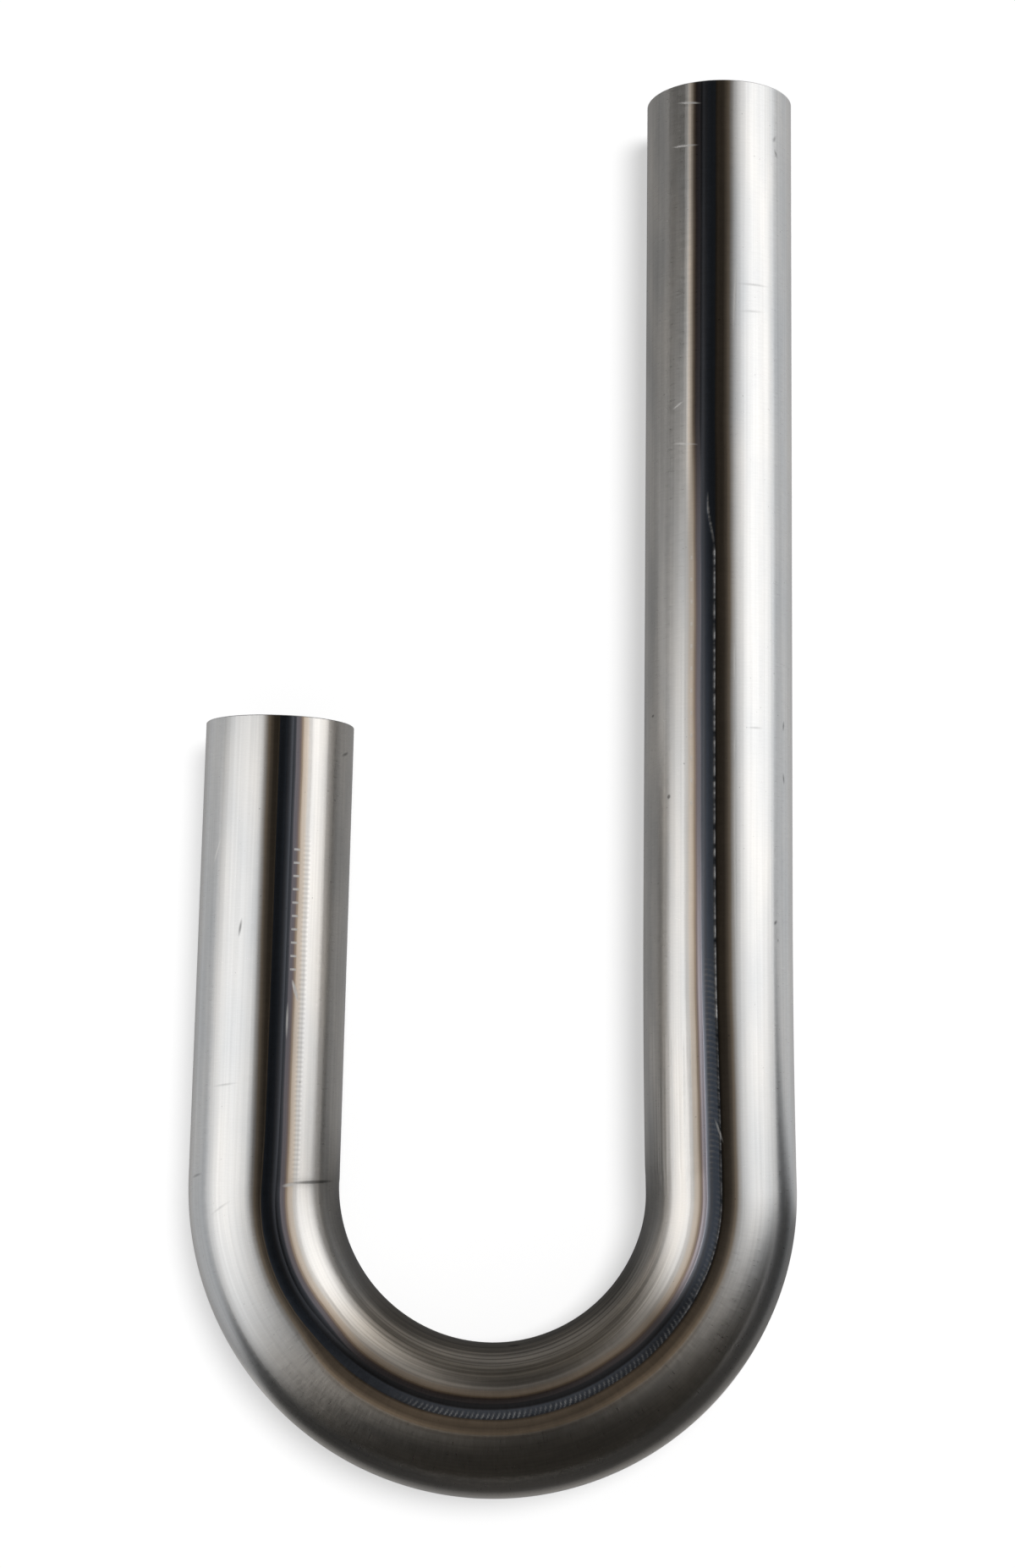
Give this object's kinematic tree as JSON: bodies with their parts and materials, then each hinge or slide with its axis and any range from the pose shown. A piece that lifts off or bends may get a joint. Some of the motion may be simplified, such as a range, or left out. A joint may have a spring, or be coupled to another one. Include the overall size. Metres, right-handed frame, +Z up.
{
  "type": "exhaust j-bend",
  "caption": "Welded steel exhaust tube bent back on itself: a long straight leg, a half-turn bend and a short straight leg, open at both ends.",
  "frame": {"origin": "middle of the footprint, on the surface that the bend lies on", "axes": "+Z up, square to the plane of the bend; +Y along the long leg towards its open end; +X from the short leg to the long leg"},
  "size_m": [0.2048, 0.4818, 0.0508],
  "materials": {
    "tube_steel": "drawn and lightly brushed stainless tube with heat tint beside the seam weld"
  },
  "bodies": {
    "root": {"j_bend_tube": "tube_steel"}
  },
  "joints": []
}
